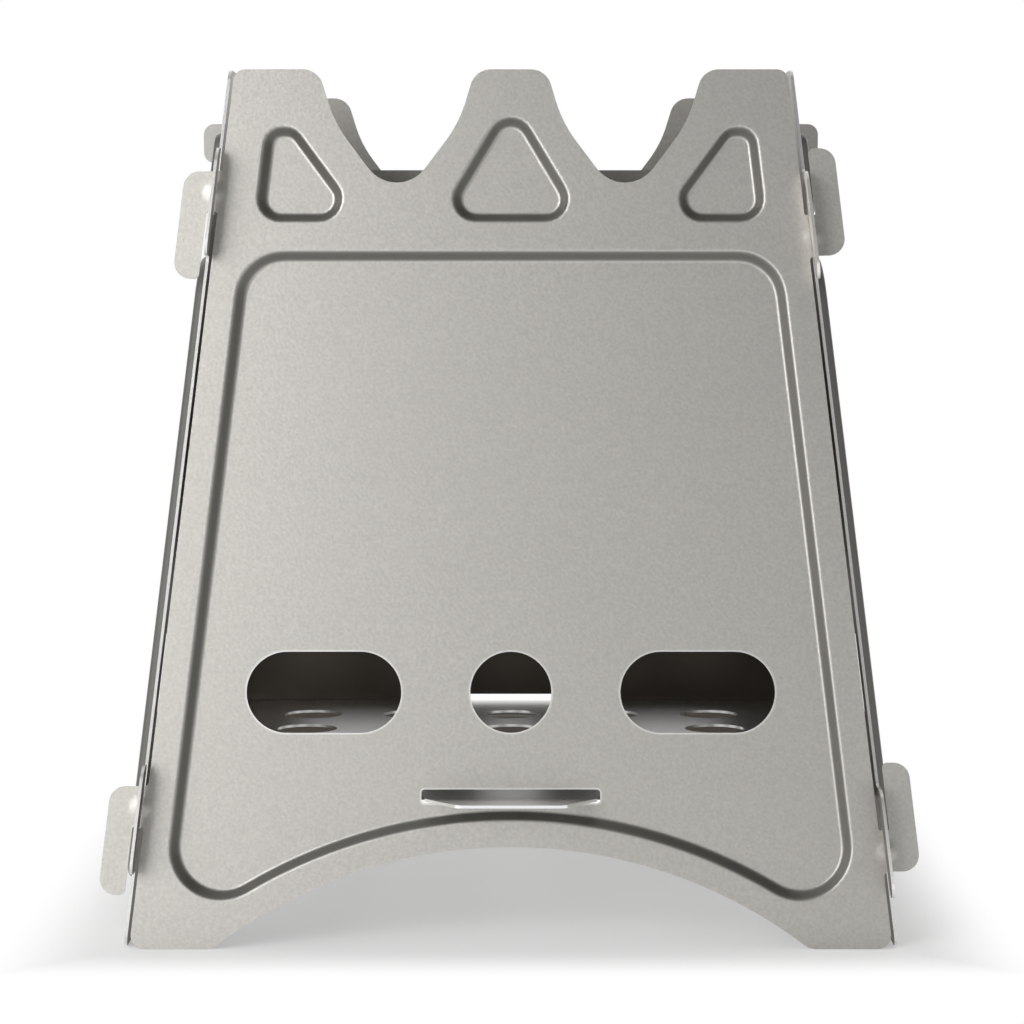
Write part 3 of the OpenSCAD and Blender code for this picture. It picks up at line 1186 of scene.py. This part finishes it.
@dataclass
class Studio:
    """Floor, world, lamps and camera, in metres.

    Attributes:
        camera_down: how far the camera looks down, in degrees.
        focal_px: focal length in pixels of the square frame.
        shadow_reach: distance from the middle within which the floor takes the shadow.
        white_reach: distance past which it is as white as the backdrop.
        floor_glow: share of white in the floor under the stove.
        dim_light: strength of the world where no glow reaches.
        glows: axis of the world's direction, where a glow starts and is full, and its strength.
        lamps: name, place, side and power in watts of each lamp.
        aim: what the lamps face.
    """

    camera_place: Vector3 = (0.0002, -0.6022, 0.1166)
    camera_down: float = 4.47
    focal_px: float = 3195.0
    frame_px: float = 1024.0
    sensor_mm: float = 36.0
    floor_half: float = 6.0
    floor_colour: Colour = (0.88, 0.88, 0.88)
    floor_roughness: float = 0.9
    floor_specular: float = 0.1
    shadow_reach: float = 0.067
    white_reach: float = 0.088
    floor_glow: float = 0.4
    dim_light: float = 0.2
    glows: tuple[tuple[str, float, float, float], ...] = (
        ("Y", 0.3, 0.7, 1.0),
        ("X", -0.3, -0.9, 0.15),
    )
    lamps: tuple[tuple[str, Vector3, float, float], ...] = (
        ("key", (-0.42, -0.52, 0.22), 0.5, 2.0),
        ("front", (-0.6, -0.85, 0.5), 0.6, 2.5),
        ("top", (-0.2, -0.1, 1.0), 0.9, 1.2),
        ("fill", (0.8, -0.4, 0.4), 0.5, 0.25),
    )
    aim: Vector3 = (0.0, 0.0, 0.07)

    def build(self) -> None:
        """Make the whole studio."""
        self._camera()
        self._floor()
        self._world()
        for name, place, size, power in self.lamps:
            self._lamp(name, place, size, power)
        bpy.context.scene.view_settings.view_transform = "Standard"

    def _camera(self) -> None:
        """Put the camera where the photograph was taken from."""
        data = bpy.data.cameras.new("camera")
        data.sensor_width = self.sensor_mm
        data.lens = self.focal_px * self.sensor_mm / self.frame_px
        camera = bpy.data.objects.new("camera", data)
        camera.location = self.camera_place
        camera.rotation_euler = (math.radians(90.0 - self.camera_down), 0.0, 0.0)
        bpy.context.scene.collection.objects.link(camera)
        bpy.context.scene.camera = camera

    def _floor(self) -> None:
        """Lay a wide plain floor."""
        h = self.floor_half
        corners = [(-h, -h, 0.0), (h, -h, 0.0), (h, h, 0.0), (-h, h, 0.0)]
        mesh = bpy.data.meshes.new("floor")
        mesh.from_pydata(corners, [], [(0, 1, 2, 3)])
        floor = bpy.data.objects.new("floor", mesh)
        bpy.context.scene.collection.objects.link(floor)
        mesh.materials.append(self._floor_material())
        floor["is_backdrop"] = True

    def _floor_material(self) -> bpy.types.Material:
        """Make a floor that is grey under the stove and white like the backdrop round it.

        The white's share rises with the larger of the two distances from the
        middle, and it shows to the eye and in reflections alone.

        Returns:
            The floor's material.
        """
        material = bpy.data.materials.new("floor")
        material.use_nodes = True
        nodes, links = material.node_tree.nodes, material.node_tree.links
        shader = nodes["Principled BSDF"]
        shader.inputs["Base Color"].default_value = (*self.floor_colour, 1.0)
        shader.inputs["Roughness"].default_value = self.floor_roughness
        shader.inputs["Specular IOR Level"].default_value = self.floor_specular
        glow = nodes.new("ShaderNodeEmission")
        place = nodes.new("ShaderNodeTexCoord")
        size = nodes.new("ShaderNodeVectorMath")
        size.operation = "ABSOLUTE"
        split = nodes.new("ShaderNodeSeparateXYZ")
        reach = self._math(nodes, "MAXIMUM")
        fade = nodes.new("ShaderNodeMapRange")
        fade.interpolation_type = "SMOOTHSTEP"
        fade.inputs["From Min"].default_value = self.shadow_reach
        fade.inputs["From Max"].default_value = self.white_reach
        fade.inputs["To Min"].default_value = self.floor_glow
        rays = nodes.new("ShaderNodeLightPath")
        metal = self._math(nodes, "MAXIMUM")
        seen = self._math(nodes, "MAXIMUM")
        share = self._math(nodes, "MULTIPLY")
        blend = nodes.new("ShaderNodeMixShader")
        links.new(place.outputs["Object"], size.inputs[0])
        links.new(size.outputs["Vector"], split.inputs["Vector"])
        links.new(split.outputs["X"], reach.inputs[0])
        links.new(split.outputs["Y"], reach.inputs[1])
        links.new(reach.outputs["Value"], fade.inputs["Value"])
        links.new(rays.outputs["Is Glossy Ray"], metal.inputs[0])
        links.new(rays.outputs["Is Transmission Ray"], metal.inputs[1])
        links.new(rays.outputs["Is Camera Ray"], seen.inputs[0])
        links.new(metal.outputs["Value"], seen.inputs[1])
        links.new(fade.outputs["Result"], share.inputs[0])
        links.new(seen.outputs["Value"], share.inputs[1])
        links.new(share.outputs["Value"], blend.inputs["Fac"])
        links.new(shader.outputs["BSDF"], blend.inputs[1])
        links.new(glow.outputs["Emission"], blend.inputs[2])
        links.new(blend.outputs["Shader"], nodes["Material Output"].inputs["Surface"])
        return material

    @staticmethod
    def _math(nodes: bpy.types.Nodes, operation: str) -> bpy.types.Node:
        """Add a math node.

        Args:
            nodes: the nodes to add it to.
            operation: what it does.

        Returns:
            The new node.
        """
        node = nodes.new("ShaderNodeMath")
        node.operation = operation
        return node

    def _world(self) -> None:
        """Light from a white backdrop, with a dim front.

        The strength is a dim base, plus a share that rises with the direction
        towards the back and the left. To the eye it is white all round.
        """
        world = bpy.data.worlds.new("studio")
        bpy.context.scene.world = world
        world.use_nodes = True
        nodes, links = world.node_tree.nodes, world.node_tree.links
        background = nodes["Background"]
        background.inputs["Color"].default_value = (1.0, 1.0, 1.0, 1.0)
        place = nodes.new("ShaderNodeTexCoord")
        split = nodes.new("ShaderNodeSeparateXYZ")
        links.new(place.outputs["Generated"], split.inputs["Vector"])
        total = self._math(nodes, "ADD")
        total.inputs[0].default_value = 0.0
        total.inputs[1].default_value = self.dim_light
        for axis, start, stop, strength in self.glows:
            ramp = nodes.new("ShaderNodeMapRange")
            ramp.interpolation_type = "SMOOTHSTEP"
            ramp.inputs["From Min"].default_value = start
            ramp.inputs["From Max"].default_value = stop
            ramp.inputs["To Max"].default_value = strength
            added = self._math(nodes, "ADD")
            links.new(split.outputs[axis], ramp.inputs["Value"])
            links.new(total.outputs["Value"], added.inputs[0])
            links.new(ramp.outputs["Result"], added.inputs[1])
            total = added
        limit = self._math(nodes, "MINIMUM")
        limit.inputs[1].default_value = 1.0
        links.new(total.outputs["Value"], limit.inputs[0])
        rays = nodes.new("ShaderNodeLightPath")
        shown = self._math(nodes, "MAXIMUM")
        links.new(limit.outputs["Value"], shown.inputs[0])
        links.new(rays.outputs["Is Camera Ray"], shown.inputs[1])
        links.new(shown.outputs["Value"], background.inputs["Strength"])

    def _lamp(self, name: str, place: Vector3, size: float, power: float) -> None:
        """Hang a square soft lamp that faces the stove's middle.

        Args:
            name: the lamp's name.
            place: where it hangs.
            size: its side.
            power: its power in watts.
        """
        data = bpy.data.lights.new(name, "AREA")
        data.size = size
        data.energy = power
        lamp = bpy.data.objects.new(name, data)
        lamp.location = place
        aim = np.array(self.aim) - np.array(place)
        flat = math.hypot(aim[0], aim[1])
        lamp.rotation_euler = (
            math.pi / 2 + math.atan2(aim[2], flat),
            0.0,
            math.atan2(aim[1], aim[0]) - math.pi / 2,
        )
        bpy.context.scene.collection.objects.link(lamp)


def as_lists(bounds: tuple) -> list[list[float]]:
    """Turn a pair of corners into plain lists."""
    return [[float(v) for v in corner] for corner in bounds]


def main() -> list[list[float]]:
    """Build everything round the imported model, and report each piece.

    Returns:
        The model's box before anything was added.
    """
    logging.basicConfig(level=logging.INFO)
    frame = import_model()
    solid_box = as_lists(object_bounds())
    Studio().build()
    sheets = SheetMaterial(blasted_grain_group(GrainNoise()), sheared_edge_group())
    for piece in [*Walls().build(sheets), *Inserts().build(frame, sheets)]:
        LOG.info("%s: %d faces", piece.name, len(piece.data.polygons))
    return solid_box


if __name__ == "__main__":
    cad_box = main()
